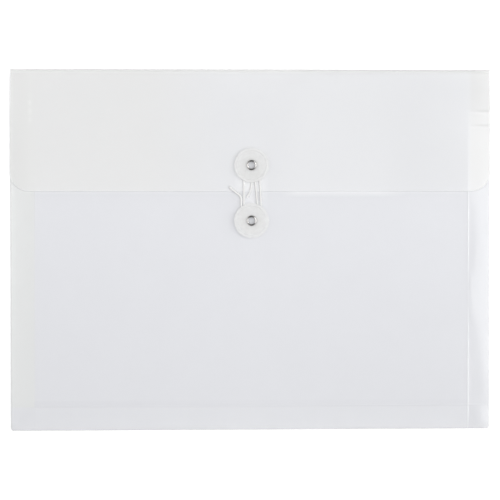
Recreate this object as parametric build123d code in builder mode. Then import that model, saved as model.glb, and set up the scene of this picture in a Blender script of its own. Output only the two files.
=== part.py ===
from build123d import *
from math import acos, asin, atan2, degrees, pi, radians, sin, tan
import os

# A clear film document envelope with a string and button tie, lying on its back, flap shut.
# X runs across it, Y towards the folded top edge and Z out of the front.
# The origin is the middle of the outline, on the face that lies on the table. Millimetres.

# Film and outline
film = 0.2
outline_width = 330.2
outline_height = 247.65
flap_overhang = 0.4
corner_radius = 2.0

# Pocket between the back and front panels, and the thumb notch in its mouth
pocket_gap = 5.0
mouth_setback = 4.0
notch_radius = 58.0
notch_depth = 15.6
notch_corner_radius = 5.0

# Flap, measured from the outside of the fold
flap_length = 83.8
flap_corner_radius = 13.0
flap_clearance = 0.3

# Gussets: strips welded along flanges to both panels, with an inward fold between
left_gusset_depth = 16.2
right_gusset_depth = 14.6
bottom_gusset_depth = 15.9
flange_width = 3.0
seam_margin = 0.6
mitre_gap = 0.3

# Buttons: a disc on a spacer, which turn together on an eyelet
button_spacing = 38.0
button_inset = 18.0
disc_radius = 12.0
disc_thickness = 0.8
rim_width = 1.8
rim_height = 0.3
rim_round = 0.14
spacer_radius = 4.2
running_clearance = 0.08
button_float = 0.1

# Eyelets, set over a backing washer behind the panel
barrel_radius = 2.65
eyelet_wall = 0.3
eyelet_flange_radius = 3.55
eyelet_flange_thickness = 0.5
eyelet_roll = 0.4
set_end_radius = 3.6
set_end_thickness = 0.4
set_end_roll = 0.15
hole_clearance = 0.05
washer_radius = 5.0
washer_thickness = 0.2

# String: knotted at the flap button, wound round both spacers, with a loose knotted tail
string_diameter = 1.4
string_clearance = 0.3
turn_gap = 0.45
knot_offset = 1.1
knot_half_length = 1.7
knot_radius = 0.85
tail_rise = 12.9
tail_turn = 51.0
tail_bend_radius = 4.2
tail_reach = 7.5
end_knot_half_length = 1.5
end_knot_radius = 0.95
# The knot's short end, from the flap button's centre
stub_route = [(0.25, -5.35), (0.4, -12.4), (-0.8, -18.4), (-3.0, -22.2)]
stub_run_share = 0.45

# Heights of the layers above the table
back_top = film
front_bottom = back_top + pocket_gap
front_top = front_bottom + film
flap_bottom = front_top + washer_thickness + set_end_thickness + flap_clearance
flap_top = flap_bottom + film
disc_bottom = flap_top + string_diameter + 2 * string_clearance
disc_top = disc_bottom + disc_thickness
string_height = flap_top + string_clearance + string_diameter / 2

# Places in the outline
body_width = outline_width - 2 * flap_overhang
bottom_y = -outline_height / 2
fold_radius = flap_top / 2
fold_y = outline_height / 2 - fold_radius
mouth_y = outline_height / 2 - mouth_setback
flap_edge_y = outline_height / 2 - flap_length
flap_button_y = flap_edge_y + button_inset
front_button_y = flap_button_y - button_spacing
gusset_edge_x = body_width / 2 - seam_margin
gusset_edge_y = bottom_y + seam_margin
button_bore = barrel_radius + running_clearance
panel_hole = barrel_radius + hole_clearance

# Radii of the string's turns
inner_turn = spacer_radius + string_clearance + string_diameter / 2
outer_turn = inner_turn + string_diameter + turn_gap

os.makedirs("parts", exist_ok=True)


def save(piece, name):
    """Label a finished piece and write it under its own name."""
    piece.part.label = name
    export_step(piece.part, f"parts/{name}.step")


def gusset_outline(depth):
    """Section of a gusset: depth in from its outer edge, and height, round the folded strip."""
    low = back_top
    high = front_bottom
    middle = (low + high) / 2
    slope = atan2(middle - low, depth - flange_width)
    inner_flange = flange_width - film * tan(slope / 2)
    inner_fold = depth - film / sin(slope)
    return [
        (0, low),
        (flange_width, low),
        (depth, middle),
        (flange_width, high),
        (0, high),
        (0, high - film),
        (inner_flange, high - film),
        (inner_fold, middle),
        (inner_flange, low + film),
        (0, low + film),
    ]


def mitre(side, height_shift):
    """Upright plane at 45 degrees through a lower corner, facing the side gusset."""
    corner = (side * gusset_edge_x, gusset_edge_y + height_shift, 0)
    return Plane(origin=corner, z_dir=(side, 1, 0))


def knot(centre, direction, half_length, radius):
    """A round-ended swelling of the string, along a direction in the string's plane."""
    plane = Plane(origin=centre, x_dir=direction, z_dir=direction.rotate(Axis.Z, -90))
    with BuildPart() as swelling:
        with BuildSketch(plane):
            SlotOverall(2 * half_length, 2 * radius)
            with Locations((0, -radius / 2)):
                Rectangle(2 * half_length, radius, mode=Mode.SUBTRACT)
        revolve(axis=Axis(centre, direction))
    return swelling.part


def wind(run, radius, angle):
    """Carry the string on from a run by a clockwise turn, in two equal arcs."""
    first = JernArc(run @ 1, run % 1, radius, -angle / 2)
    return JernArc(first @ 1, first % 1, radius, -angle / 2)


def least_gap(route, diameter):
    """Smallest gap of a tube to itself, on points along its route."""
    count = 600
    spots = [route @ (step / count) for step in range(count + 1)]
    apart = int(count * pi * diameter / route.length) + 1
    pairs = ((a, b) for a in range(count + 1) for b in range(a + apart, count + 1))
    return min((spots[a] - spots[b]).length for a, b in pairs) - diameter


# Back panel
with BuildPart() as back_panel:
    with BuildSketch():
        with Locations((0, (bottom_y + fold_y) / 2)):
            sheet = Rectangle(body_width, fold_y - bottom_y)
        fillet(sheet.vertices().group_by(Axis.Y)[0], corner_radius)
    extrude(amount=film)
save(back_panel, "back_panel")

# Front panel, with the thumb notch and the eyelet's hole
with BuildPart() as front_panel:
    with BuildSketch(Plane.XY.offset(front_bottom)) as front_sheet:
        with Locations((0, (bottom_y + mouth_y) / 2)):
            Rectangle(body_width, mouth_y - bottom_y)
        fillet(front_sheet.vertices(), corner_radius)
        with Locations((0, mouth_y - notch_depth + notch_radius)):
            Circle(notch_radius, mode=Mode.SUBTRACT)
        mouth_corners = front_sheet.vertices().group_by(Axis.Y)[-1].sort_by(Axis.X)
        fillet(mouth_corners[1:3], notch_corner_radius)
        with Locations((0, front_button_y)):
            Circle(panel_hole, mode=Mode.SUBTRACT)
    extrude(amount=film)
save(front_panel, "front_panel")

# Flap, with rounded free corners and the eyelet's hole
with BuildPart() as flap_panel:
    with BuildSketch(Plane.XY.offset(flap_bottom)) as flap_sheet:
        with Locations((0, (flap_edge_y + fold_y) / 2)):
            Rectangle(outline_width, fold_y - flap_edge_y)
        fillet(flap_sheet.vertices().group_by(Axis.Y)[0], flap_corner_radius)
        with Locations((0, flap_button_y)):
            Circle(panel_hole, mode=Mode.SUBTRACT)
    extrude(amount=film)
save(flap_panel, "flap_panel")

# Folded strip that joins the back panel to the flap, round the fold's axis
with BuildPart() as top_fold:
    with BuildSketch(Plane.YZ.offset(-body_width / 2)):
        with BuildLine():
            CenterArc((fold_y, fold_radius), fold_radius - film / 2, -90, 180)
        trace(line_width=film)
    extrude(amount=body_width)
save(top_fold, "top_fold")

# Side gussets, mitred at the lower corners
for name, side, depth in (
    ("left_gusset", -1, left_gusset_depth),
    ("right_gusset", 1, right_gusset_depth),
):
    section = [(side * (gusset_edge_x - across), height) for across, height in gusset_outline(depth)]
    with BuildPart() as side_gusset:
        with BuildSketch(Plane.XZ.offset(-mouth_y)):
            with BuildLine():
                Polyline(*section, close=True)
            make_face()
        extrude(amount=mouth_y - gusset_edge_y)
        split(bisect_by=mitre(side, mitre_gap / 2), keep=Keep.TOP)
    save(side_gusset, name)

# Bottom gusset, mitred at both ends
section = [(gusset_edge_y + across, height) for across, height in gusset_outline(bottom_gusset_depth)]
with BuildPart() as bottom_gusset:
    with BuildSketch(Plane.YZ.offset(-gusset_edge_x)):
        with BuildLine():
            Polyline(*section, close=True)
        make_face()
    extrude(amount=2 * gusset_edge_x)
    for side in (-1, 1):
        split(bisect_by=mitre(side, -mitre_gap / 2), keep=Keep.BOTTOM)
save(bottom_gusset, "bottom_gusset")

# Buttons: the same pieces on the flap and on the front panel, levelled by the spacers
for name, button_y, panel_bottom in (
    ("flap", flap_button_y, flap_bottom),
    ("front", front_button_y, front_bottom),
):
    panel_top = panel_bottom + film
    button_axis = Axis((0, button_y, 0), (0, 0, 1))
    section_plane = Plane.XZ.offset(-button_y)

    with BuildPart() as disc:
        with BuildSketch(section_plane) as disc_section:
            with BuildLine():
                Polyline(
                    (button_bore, disc_bottom),
                    (disc_radius, disc_bottom),
                    (disc_radius, disc_top + rim_height),
                    (disc_radius - rim_width, disc_top + rim_height),
                    (disc_radius - rim_width - rim_height, disc_top),
                    (button_bore, disc_top),
                    close=True,
                )
            make_face()
            fillet(disc_section.vertices().group_by(Axis.Y)[-1], rim_round)
        revolve(axis=button_axis)
    save(disc, f"{name}_disc")

    with BuildPart() as spacer:
        with BuildSketch(Plane.XY.offset(panel_top)):
            with Locations((0, button_y)):
                Circle(spacer_radius)
                Circle(button_bore, mode=Mode.SUBTRACT)
        extrude(amount=disc_bottom - panel_top)
    save(spacer, f"{name}_spacer")

    with BuildPart() as washer:
        with BuildSketch(Plane.XY.offset(panel_bottom - washer_thickness)):
            with Locations((0, button_y)):
                Circle(washer_radius)
                Circle(panel_hole, mode=Mode.SUBTRACT)
        extrude(amount=washer_thickness)
    save(washer, f"{name}_washer")

    bore = barrel_radius - eyelet_wall
    flange_bottom = disc_top + button_float
    flange_top = flange_bottom + eyelet_flange_thickness
    set_top = panel_bottom - washer_thickness
    set_bottom = set_top - set_end_thickness
    with BuildPart() as eyelet:
        with BuildSketch(section_plane) as eyelet_section:
            with BuildLine():
                Polyline(
                    (bore, set_bottom),
                    (set_end_radius, set_bottom),
                    (set_end_radius, set_top),
                    (barrel_radius, set_top),
                    (barrel_radius, flange_bottom),
                    (eyelet_flange_radius, flange_bottom),
                    (eyelet_flange_radius, flange_top),
                    (bore, flange_top),
                    close=True,
                )
            make_face()
            fillet(eyelet_section.vertices().group_by(Axis.Y)[-1], eyelet_roll)
            fillet(eyelet_section.vertices().group_by(Axis.Y)[0], set_end_roll)
        revolve(axis=button_axis)
    save(eyelet, f"{name}_eyelet")

# String: down from the knot, round the front button, up and over the flap button,
# down again, round the front button outside the first turn, and out as the tail
flap_button = Vector(0, flap_button_y, string_height)
front_button = Vector(0, front_button_y, string_height)
knot_drop = spacer_radius + string_clearance + knot_radius
knot_centre = flap_button + Vector(knot_offset, -knot_drop, 0)
string_start = knot_centre + Vector(knot_half_length / 2, 0, 0)
to_start = string_start - front_button
first_touch = degrees(atan2(to_start.Y, to_start.X) - acos(inner_turn / to_start.length))
lean = degrees(asin((outer_turn - inner_turn) / button_spacing))
right = Vector(1, 0, 0)

with BuildPart() as tie_string:
    with BuildLine() as string_line:
        first_run = Line(string_start, front_button + right.rotate(Axis.Z, first_touch) * inner_turn)
        lower_turn = wind(first_run, inner_turn, 180 + first_touch)
        left_run = Line(lower_turn @ 1, flap_button - right * inner_turn)
        upper_turn = wind(left_run, inner_turn, 180 - lean)
        right_run = Line(upper_turn @ 1, front_button + right.rotate(Axis.Z, lean) * outer_turn)
        last_turn = wind(right_run, outer_turn, 180 + lean)
        rise = Line(last_turn @ 1, (last_turn @ 1) + Vector(0, tail_rise, 0))
        bend = JernArc(rise @ 1, rise % 1, tail_bend_radius, tail_turn)
        reach = Line(bend @ 1, (bend @ 1) + (bend % 1) * tail_reach)
    with BuildSketch(Plane(origin=string_line.line @ 0, z_dir=string_line.line % 0)):
        Circle(string_diameter / 2)
    sweep()
save(tie_string, "tie_string")

string_route = string_line.wires()[0]
string_section = pi * string_diameter**2 / 4
print(f"string length {string_route.length:.1f} mm")
print(f"string radii {inner_turn:.2f}, {outer_turn:.2f} and {tail_bend_radius:.2f} mm")
print(f"string volume {tie_string.part.volume:.2f}, section times length", end=" ")
print(f"{string_section * string_route.length:.2f} mm3")
print(f"string least gap to itself {least_gap(string_route, string_diameter):.2f} mm")

# Knot under the flap button, with the string's short end
stub_points = [flap_button + Vector(across, along, 0) for across, along in stub_route]
stub_runs = [b - a for a, b in zip(stub_points, stub_points[1:])]
stub_radii = []
for before, after in zip(stub_runs, stub_runs[1:]):
    half_turn = radians(before.get_angle(after)) / 2
    stub_radii.append(stub_run_share * min(before.length, after.length) / tan(half_turn))
print("string stub radii", [round(radius, 1) for radius in stub_radii])

with BuildPart() as string_knot:
    add(knot(knot_centre, right, knot_half_length, knot_radius))
    with BuildLine() as stub_line:
        FilletPolyline(*stub_points, radius=stub_radii)
    with BuildSketch(Plane(origin=stub_line.line @ 0, z_dir=stub_line.line % 0)):
        Circle(string_diameter / 2)
    sweep()
save(string_knot, "string_knot")

# Knot on the end of the tail
with BuildPart() as string_end:
    add(knot(reach @ 1, reach % 1, end_knot_half_length, end_knot_radius))
save(string_end, "string_end")
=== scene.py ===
"""Looks of a clear film envelope with a button and string tie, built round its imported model."""

import math

import bmesh
import bpy
from bpy.props import FloatProperty, FloatVectorProperty, IntProperty, PointerProperty
from mathutils import Matrix, Vector


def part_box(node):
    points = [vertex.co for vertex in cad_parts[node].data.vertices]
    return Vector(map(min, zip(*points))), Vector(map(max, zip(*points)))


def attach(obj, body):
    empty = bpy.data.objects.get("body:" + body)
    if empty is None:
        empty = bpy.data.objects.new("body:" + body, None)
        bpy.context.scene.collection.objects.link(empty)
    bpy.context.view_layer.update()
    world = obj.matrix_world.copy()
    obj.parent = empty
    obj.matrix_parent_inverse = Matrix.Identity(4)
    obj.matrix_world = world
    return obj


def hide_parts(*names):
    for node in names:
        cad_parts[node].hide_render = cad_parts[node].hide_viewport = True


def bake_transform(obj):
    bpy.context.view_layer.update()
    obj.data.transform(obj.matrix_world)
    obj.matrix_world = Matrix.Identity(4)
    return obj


bl_info = {
    "name": "String Tie Envelope",
    "version": (1, 0, 0),
    "blender": (4, 5, 0),
    "location": "View3D > Sidebar > Envelope",
    "description": "Builds a clear film envelope with a button and string tie",
    "category": "Add Mesh",
}

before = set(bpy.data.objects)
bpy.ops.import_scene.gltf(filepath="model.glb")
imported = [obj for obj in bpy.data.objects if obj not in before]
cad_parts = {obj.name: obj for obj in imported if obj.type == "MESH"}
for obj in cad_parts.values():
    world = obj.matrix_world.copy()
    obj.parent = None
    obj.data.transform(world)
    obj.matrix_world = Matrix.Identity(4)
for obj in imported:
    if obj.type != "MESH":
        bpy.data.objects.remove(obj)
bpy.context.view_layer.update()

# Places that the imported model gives, in metres
BACK_LOW, BACK_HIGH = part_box("back_panel")
FRONT_LOW, FRONT_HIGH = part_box("front_panel")
FLAP_LOW, FLAP_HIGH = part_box("flap_panel")
FOLD_LOW, FOLD_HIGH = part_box("top_fold")
LEFT_LOW, LEFT_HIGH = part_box("left_gusset")
RIGHT_LOW, RIGHT_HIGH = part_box("right_gusset")
BOTTOM_LOW, BOTTOM_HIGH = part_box("bottom_gusset")
FILM = BACK_HIGH.z - BACK_LOW.z
FOLD_Y = FOLD_LOW.y
FOLD_AXIS_Z = (FOLD_LOW.z + FOLD_HIGH.z) / 2
FOLD_RADIUS = (FOLD_HIGH.z - FOLD_LOW.z - FILM) / 2
BUTTONS = {
    name: sum(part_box(f"{name}_disc"), Vector()) / 2
    for name in ("flap", "front")
}
STRING_LOW, STRING_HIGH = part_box("tie_string")
STRING_SIZE = STRING_HIGH.z - STRING_LOW.z
STRING_Z = (STRING_LOW.z + STRING_HIGH.z) / 2
SPACER_RADIUS = (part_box("front_spacer")[1].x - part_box("front_spacer")[0].x) / 2


def length(name, description, metres):
    """A property that holds a length."""
    return FloatProperty(name=name, description=description, default=metres, unit="LENGTH", precision=5)


def turn(name, description, degrees):
    """A property that holds an angle."""
    return FloatProperty(name=name, description=description, default=math.radians(degrees), subtype="ANGLE")


def amount(name, description, value):
    """A property that holds a share, a strength or another plain number."""
    return FloatProperty(name=name, description=description, default=value, precision=3)


def colour(name, description, *shades):
    """A property that holds a colour as red, green and blue."""
    return FloatVectorProperty(
        name=name, description=description, default=shades, size=3, subtype="COLOR", min=0.0, max=1.0
    )


class FilmSettings(bpy.types.PropertyGroup):
    """Shape and finish of the film sheets."""

    grid_step: length("Grid step", "Distance between the lines that a sheet bends at", 0.006)
    wave_height: length("Wave height", "Rise of the gentle waves in a sheet", 0.00005)
    wave_length: length("Wave length", "Distance between two waves", 0.085)
    calm_radius: length("Calm radius", "Distance from a button that the waves keep", 0.008)
    calm_fade: length("Calm fade", "Distance past that over which the waves build up", 0.02)
    crease_height: length("Crease height", "Rise of the ridge over a gusset's inner fold", 0.0001)
    crease_width: length("Crease width", "Half width of that ridge", 0.00045)
    weld_width: length("Weld width", "Width of the welded strip along a seam", 0.003)
    weld_depth: length("Weld depth", "How far the welded strip is pressed in", 0.00006)
    edge_width: length("Edge width", "Width of the cut edge that shows as a line", 0.00035)
    right_slope: amount("Right slope", "Steepness of the right band once it falls", 0.06)
    right_ease: amount("Right ease", "Share of the right band's width over which that fall builds up", 0.12)
    left_drop: length("Left drop", "Fall of the left band towards its seam", 0.0007)
    bottom_drop: length("Bottom drop", "Fall of the bottom band towards its seam", 0.0006)
    flap_drop: length("Flap drop", "Further fall of the flap's ends over the bands", 0.0006)
    fold_flat: length("Fold flat", "Distance below the top fold that stays flat", 0.02)
    fold_fade: length("Fold fade", "Distance past that over which the falls build up", 0.02)
    dent_depth: length("Dent depth", "Depth of the small dents in the flap's right end", 0.00022)
    dent_width: length("Dent width", "Half width of a dent", 0.0011)
    flap_corner: length("Flap corner", "Radius of the flap's free corners", 0.013)
    panel_corner: length("Panel corner", "Radius of the panels' corners", 0.002)
    notch_radius: length("Notch radius", "Radius of the thumb notch", 0.058)
    notch_depth: length("Notch depth", "Depth of the thumb notch", 0.0156)
    notch_corner: length("Notch corner", "Rounding where the notch meets the mouth", 0.00125)
    hole_radius: length("Hole radius", "Radius of the hole that an eyelet passes", 0.0027)
    gusset_fold: length("Gusset fold", "Height of a gusset's inner fold, which sags a little", 0.00205)
    fold_round: length("Fold rounding", "Rounding of a gusset's folds", 0.0004)
    mitre_gap: length("Mitre gap", "Gap between the gussets at a lower corner", 0.0003)
    contact: length("Contact", "Air left between two sheets that touch", 0.00002)
    front_colour: colour("Front colour", "Colour of the front sheet", 0.824, 0.83, 0.858)
    flap_colour: colour("Flap colour", "Colour of the flap", 0.866, 0.871, 0.887)
    flap_left_colour: colour("Flap's left colour", "Colour of the flap's left part", 0.868, 0.868, 0.865)
    back_colour: colour("Back colour", "Colour of the back sheet", 0.82, 0.826, 0.854)
    gusset_colour: colour("Gusset colour", "Colour of the gussets", 0.93, 0.935, 0.94)
    neutral_colour: colour("Neutral colour", "Colour of the front past its left fold", 0.82, 0.828, 0.823)
    edge_colour: colour("Edge colour", "Colour of the cut edges", 0.6, 0.6, 0.605)
    cover: amount("Cover", "How much one face of a panel hides what is behind it", 0.42)
    flap_cover: amount("Flap cover", "How much one face of the flap hides what is behind it", 0.46)
    gusset_cover: amount("Gusset cover", "How much one face of a gusset hides what is behind it", 0.12)
    edge_cover: amount("Edge cover", "How much a seam's cut edge hides what is behind it", 0.55)
    flap_edge_cover: amount("Flap edge cover", "How much the flap's cut edge hides what is behind it", 0.6)
    roughness: amount("Roughness", "Roughness of the film", 0.09)
    gloss: amount("Gloss", "How strongly the film reflects, where 0.5 is a plain plastic", 0.75)


class TieSettings(bpy.types.PropertyGroup):
    """Shape and finish of the buttons and the string."""

    rim_width: length("Rim width", "Width of the raised rim of a disc", 0.0018)
    rim_height: length("Rim height", "Rise of the rim above the disc", 0.0003)
    rim_round: length("Rim rounding", "Rounding of a disc's edges", 0.00014)
    bore: length("Bore", "Radius of the bore of a disc", 0.00273)
    barrel: length("Barrel", "Outer radius of an eyelet's barrel", 0.00265)
    eyelet_wall: length("Eyelet wall", "Wall of an eyelet's barrel", 0.0003)
    flange_thickness: length("Flange thickness", "Thickness of an eyelet's rolled flange", 0.0005)
    flange_reach: length("Flange reach", "Radius of an eyelet's rolled flange", 0.00355)
    flange_round: length("Flange rounding", "Rounding of the rolled flange", 0.00042)
    set_thickness: length("Set end thickness", "Thickness of the set end behind the film", 0.0004)
    spin_steps: IntProperty(name="Spin steps", description="Steps round a turned piece", default=72)
    string_clearance: length("String clearance", "Gap between the string and a spacer", 0.0003)
    turn_gap: length("Turn gap", "Gap between two turns of the string", 0.00045)
    wind_step: turn("Winding step", "Angle between two points of a turn", 22.5)
    knot_offset: length("Knot offset", "Distance of the knot to the right of the flap button", 0.0011)
    knot_half: length("Knot half length", "Half length of the knot", 0.0017)
    knot_radius: length("Knot radius", "Radius of the knot", 0.00085)
    end_half: length("End knot half length", "Half length of the knot on the tail", 0.0015)
    end_radius: length("End knot radius", "Radius of the knot on the tail", 0.00095)
    tail_rise: length("Tail rise", "Height of the tail's corner above the front button", 0.0164)
    tail_turn: turn("Tail turn", "Angle that the tail turns to the left", 51.0)
    tail_reach: length("Tail reach", "Length of the tail past its corner", 0.0095)
    tail_ease: length("Tail ease", "Distance from the corner at which the tail starts to bend", 0.0035)
    strands: IntProperty(name="Strands", description="Strands of the twisted string", default=3)
    strand_sides: IntProperty(name="Strand sides", description="Faces round one strand", default=6)
    groove: amount("Groove", "Depth of the grooves between strands, as a share of the radius", 0.24)
    lay: length("Lay", "Length of one full twist of the string", 0.0042)
    ring_step: length("Ring step", "Distance between two rings of the string", 0.0004)
    string_colour: colour("String colour", "Colour of the string", 0.735, 0.735, 0.73)
    disc_colour: colour("Disc colour", "Colour of the discs", 0.825, 0.825, 0.822)
    disc_cover: amount("Disc cover", "How much one face of a disc hides what is behind it", 0.36)
    metal_colour: colour("Metal colour", "Colour of the eyelets", 0.84, 0.83, 0.81)


class StageSettings(bpy.types.PropertyGroup):
    """Camera, floor and light."""

    view_width: length("View width", "Width that the picture shows at the envelope", 0.3432)
    camera_height: length("Camera height", "Height of the camera", 1.9)
    camera_x: length("Camera place", "Place of the camera across the envelope", -0.12)
    camera_y: length("Camera place along", "Place of the camera along the envelope", 0.05)
    target_x: length("Target across", "Middle of the picture across the envelope", -0.0009)
    target_y: length("Target along", "Middle of the picture along the envelope", -0.0002)
    floor_size: length("Floor size", "Half width of the floor", 12.0)
    floor_gap: length("Floor gap", "Gap that keeps the floor clear of the back sheet", 0.0002)
    floor_colour: colour("Floor colour", "Colour of the floor", 0.93, 0.93, 0.93)
    sky_bright: amount("Sky brightness", "Light from both sides", 0.95)
    sky_dark: amount("Sky darkness", "Light from above and from the two ends", 0.15)
    key_power: amount("Key power", "Power of the soft light on the right, in watts", 60.0)
    key_width: length("Key width", "Width of that light", 2.25)
    key_length: length("Key length", "Length of that light", 2.8)
    top_width: length("Top light width", "Width of the light overhead", 1.2)
    top_power: amount("Top light power", "Power of the light overhead, in watts", 70.0)
    floor_glow: amount("Floor glow", "Light that the floor gives off by itself", 0.11)


# Middle of the right crease, the place along it where it stands out most, and the distance to the next one
CREASE_X = RIGHT_LOW.x + 0.0004
CREASE_PEAK = 0.026
CREASE_CYCLE = 0.116

# Places of the string's stub from the flap button's centre, and of the flap's dents
STUB_ROUTE = ((0.00025, -0.00535), (0.0004, -0.0124), (-0.0008, -0.0184), (-0.003, -0.0222))
DENT_ROWS = (0.0943, 0.0846)

# Two trains of waves, with their pace across and along, share of the phase and height
WAVES = ((1.0, 0.4, 1.0, 1.0), (0.6, -1.3, 2.0, 0.7))
FRONT_PHASE = 1.0
FLAP_PHASE = 2.6

# Places along the right band, and the share of its width at which it starts to fall there
FALL_STARTS = (
    (-0.125, 0.42), (-0.118, 0.6), (-0.112, 0.74), (-0.107, 1.0), (-0.093, 1.0),
    (-0.083, 0.9), (-0.066, 0.8), (-0.048, 0.5), (-0.036, 0.18), (-0.022, 0.18),
    (-0.01, 0.58), (0.024, 0.58), (0.036, 0.25), (0.045, 0.05), (0.125, 0.05),
)

# Places of the two lights, white, and the distance below which two points of a mesh are one
KEY_PLACE = Vector((2.1, 0.35, 4.0))
TOP_PLACE = Vector((-0.1, 0.1, 3.0))
WHITE = (1.0, 1.0, 1.0, 1.0)
TINY = 1e-7


def math_method(operation, swapped=False):
    """A method for one of Python's signs, which adds a Math node on two numbers."""

    def method(self, other):
        return self.math(operation, other, self) if swapped else self.math(operation, self, other)

    return method


class Value:
    """A number from a node. Sums with it add Math nodes to its tree."""

    __add__ = math_method("ADD")
    __radd__ = math_method("ADD", swapped=True)
    __sub__ = math_method("SUBTRACT")
    __rsub__ = math_method("SUBTRACT", swapped=True)
    __mul__ = math_method("MULTIPLY")
    __rmul__ = math_method("MULTIPLY", swapped=True)
    __truediv__ = math_method("DIVIDE")
    __pow__ = math_method("POWER")

    def __init__(self, nodes, socket):
        self.nodes = nodes
        self.socket = socket

    def __abs__(self):
        return self.math("ABSOLUTE", self)

    def math(self, operation, *terms, clamp=False):
        """A Math node on these terms."""
        settings = {"operation": operation, "use_clamp": clamp}
        return self.nodes.add("ShaderNodeMath", settings, dict(enumerate(terms)))

    def clamped(self):
        """The number held between 0 and 1."""
        return self.math("ADD", self, 0.0, clamp=True)

    def past(self, start, run):
        """How far the number is past a start: 0 there, and 1 a run beyond it."""
        return ((self - start) / run).clamped()

    def before(self, start, run):
        """How far the number is short of a start: 0 there, and 1 a run before it."""
        return ((start - self) / run).clamped()

    def near(self, middle, reach, crown=1.0):
        """1 at a middle and less on both sides of it. A crown above 1 gives a flat top."""
        return (crown - abs(self - middle) / reach).clamped()

    def between(self, low, high):
        """A value that follows this number from low, at 0, to high, at 1."""
        return low + (high - low) * self


class Nodes:
    """The nodes of a material or of the world, and the one way to add to them."""

    def __init__(self, tree):
        self.tree = tree
        tree.nodes.clear()

    def add(self, kind, settings=None, sockets=None, output=0):
        """Add a node with its settings, then the values or links of its sockets, and give one output."""
        node = self.tree.nodes.new(kind)
        for name, value in (settings or {}).items():
            setattr(node, name, value)
        for name, value in (sockets or {}).items():
            if isinstance(value, Value):
                self.tree.links.new(value.socket, node.inputs[name])
            else:
                node.inputs[name].default_value = value
        return Value(self, node.outputs[output]) if node.outputs else node

    def place(self):
        """The three coordinates of a point on the piece, in metres."""
        spot = self.add("ShaderNodeTexCoord", output="Object")
        return spot, [self.add("ShaderNodeSeparateXYZ", None, {0: spot}, axis) for axis in range(3)]

    def noise(self, spot, scale, stretch=(1.0, 1.0, 1.0), detail=3.0):
        """Soft noise, with its grains stretched along an axis where that factor is small."""
        mapped = self.add("ShaderNodeMapping", None, {"Vector": spot, "Scale": stretch})
        return self.add("ShaderNodeTexNoise", None, {"Vector": mapped, "Scale": scale, "Detail": detail})

    def mix(self, factor, first, second):
        """A colour between two colours, by the sockets that a Mix node has for colours."""
        first_colour, second_colour, result = 6, 7, 2
        sockets = {"Factor": factor, first_colour: first, second_colour: second}
        return self.add("ShaderNodeMix", {"data_type": "RGBA"}, sockets, result)

    def shades(self, factor, base, first, second=1.0):
        """A colour between two shades of a base colour."""
        return self.mix(factor, shade(base, first), shade(base, second))

    def layers(self, tone, *coats):
        """A colour with others laid over it in turn, each as far as its own factor says."""
        for factor, coat in coats:
            tone = self.mix(factor, tone, coat)
        return tone

    def bump(self, height, distance):
        """A normal that follows a height."""
        return self.add("ShaderNodeBump", None, {"Strength": 1.0, "Distance": distance, "Height": height})


def shade(base, factor=1.0):
    """A colour as four numbers, made lighter or darker."""
    return tuple(min(1.0, part * factor) for part in base) + (1.0,)


def close_material(name, nodes_of, **values):
    """A material whose shader takes plain values, and links from the nodes that nodes_of makes."""
    material = bpy.data.materials.new(name)
    material.use_nodes = True
    nodes = Nodes(material.node_tree)
    sockets = {key.replace("_", " ").title().replace("Ior", "IOR"): value for key, value in values.items()}
    sockets.update(nodes_of(nodes))
    shader = nodes.add("ShaderNodeBsdfPrincipled", None, sockets)
    nodes.add("ShaderNodeOutputMaterial", None, {"Surface": shader})
    return material


def film_material(name, cover, settings, tone_of, white_of=None):
    """Hazy clear film with die lines and scuffs. Its tone and its whitening come from functions, and both
    can hold painted light and shade.
    """
    haze_cover, white_cover = 0.01, 0.25
    scuff_roughness, scuff_height = 0.04, 0.4

    def nodes_of(nodes):
        spot, (x, y, _) = nodes.place()
        haze = nodes.noise(spot, scale=26.0)
        scuffs = nodes.noise(spot, scale=900.0, stretch=(1.0, 0.15, 1.0))
        die_lines = nodes.noise(spot, scale=700.0, stretch=(0.01, 1.0, 1.0), detail=2.0)
        tone = tone_of(nodes, haze, x, y)
        alpha = haze.between(cover - haze_cover, cover + haze_cover)
        if white_of:
            white = white_of(nodes, spot, x, y)
            tone = nodes.mix(white, tone, WHITE)
            alpha = alpha + white * white_cover
        return {
            "Base Color": tone,
            "Alpha": alpha,
            "Roughness": scuffs.between(settings.roughness, settings.roughness + scuff_roughness),
            "Normal": nodes.bump(die_lines + scuffs * scuff_height, distance=0.000002),
        }

    return close_material(name, nodes_of, specular_ior_level=settings.gloss)


def plain_tone(base):
    """A tone that varies only with the haze."""
    return lambda nodes, haze, x, y: nodes.shades(haze, base, 0.993, 1.007)


def back_tone(base):
    """The back sheet's tone: darker towards the top fold, behind the notch, as painted shade that stands in
    for the shade inside the pocket.
    """
    # Painted shade: the back's top strip is darkened like the shade inside the pocket
    pocket_shade = shade(base, 0.88)

    def tone_of(nodes, haze, x, y):
        return nodes.mix(y.past(start=0.1, run=0.015), plain_tone(base)(nodes, haze, x, y), pocket_shade)

    return tone_of


def flap_tone(settings):
    """The flap's tone: less blue towards the left, painted shade that darkens it towards the right and at
    both ends against the key light and the glare, and painted light with a neutral tone over the top fold.
    """
    base, side = settings.flap_colour, settings.flap_left_colour
    haze_share = 0.2

    def tone_of(nodes, haze, x, y):
        # Painted shade: darker towards the right, where the key light falls, with a little haze
        rightward_shade_and_haze = x.past(start=0.04, run=0.1) + (haze - 0.5) * haze_share
        return nodes.layers(
            nodes.shades(rightward_shade_and_haze, base, 1.0, 0.985),
            (x.before(start=-0.02, run=0.05), shade(side)),
            # Painted shade at the left end, against the glare there
            (x.before(start=-0.151, run=0.014), shade(side, 0.945)),
            # Painted shade at the right end, over the right band, against the glare there
            (x.past(RIGHT_LOW.x, run=0.003), shade(side, 0.955)),
            # Painted light with a neutral tone over the top fold, against the fold's shading
            (y.past(FOLD_Y, run=0.002), shade(side, 1.01)),
        )

    return tone_of


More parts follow.
